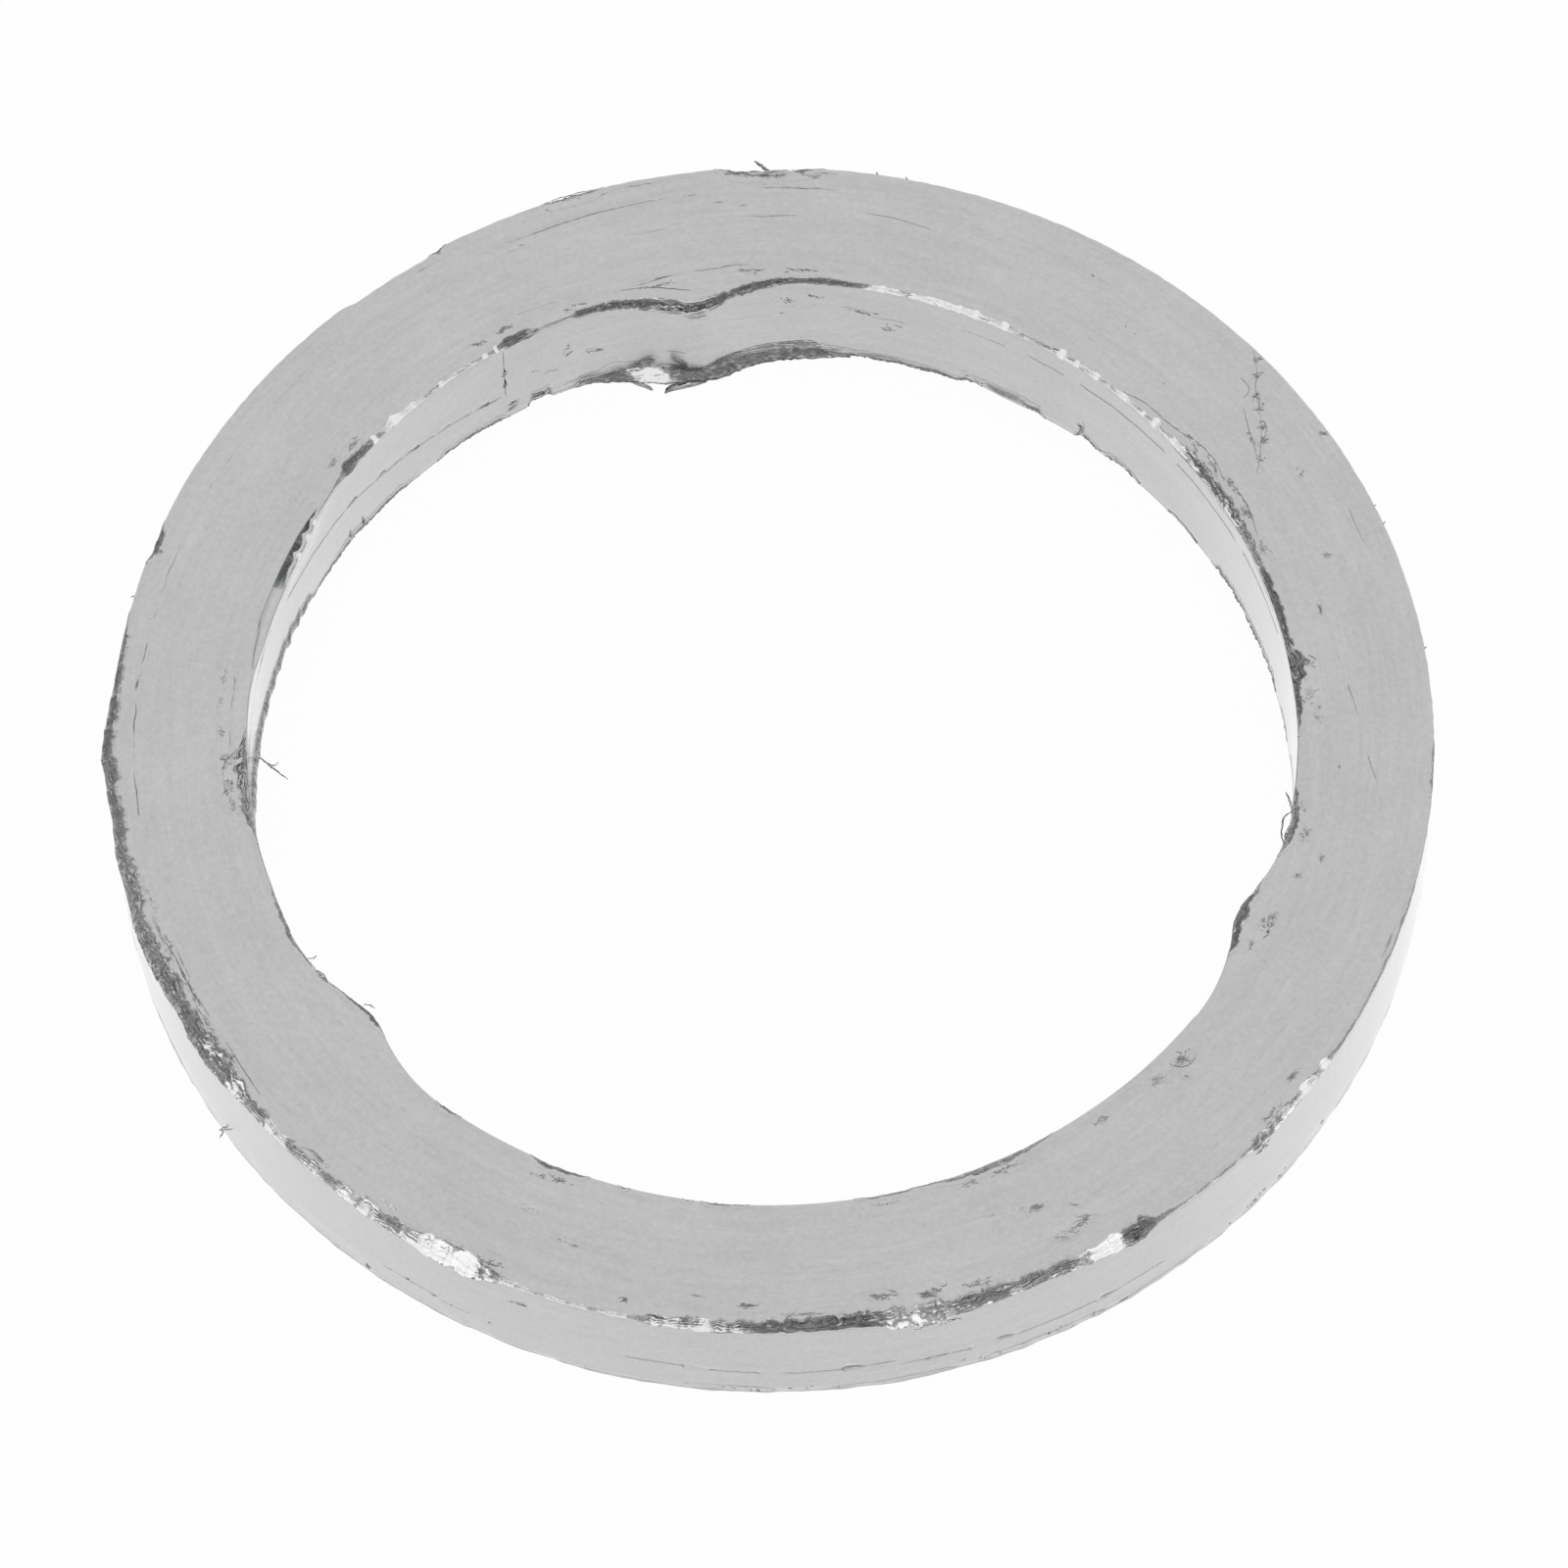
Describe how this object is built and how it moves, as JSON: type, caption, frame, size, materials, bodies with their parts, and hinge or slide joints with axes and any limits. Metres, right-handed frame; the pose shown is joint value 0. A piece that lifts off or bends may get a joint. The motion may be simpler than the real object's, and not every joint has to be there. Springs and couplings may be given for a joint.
{
  "type": "exhaust sealing ring",
  "caption": "Flat round sealing ring of pressed graphite foil for an exhaust pipe joint, with grip dents in the bore and torn foil edges.",
  "frame": {"origin": "on the ring's axis, in the plane of its underside", "axes": "+Z along the ring's axis, out of the upper face; +Y points away from the picture's viewer and +X to its right"},
  "size_m": [0.0489, 0.0488, 0.0053],
  "materials": {
    "graphite_foil": "pressed graphite foil, satin grey with a metallic sheen, dark and flaky where the edge is torn"
  },
  "bodies": {
    "root": {"ring": "graphite_foil"}
  },
  "joints": []
}
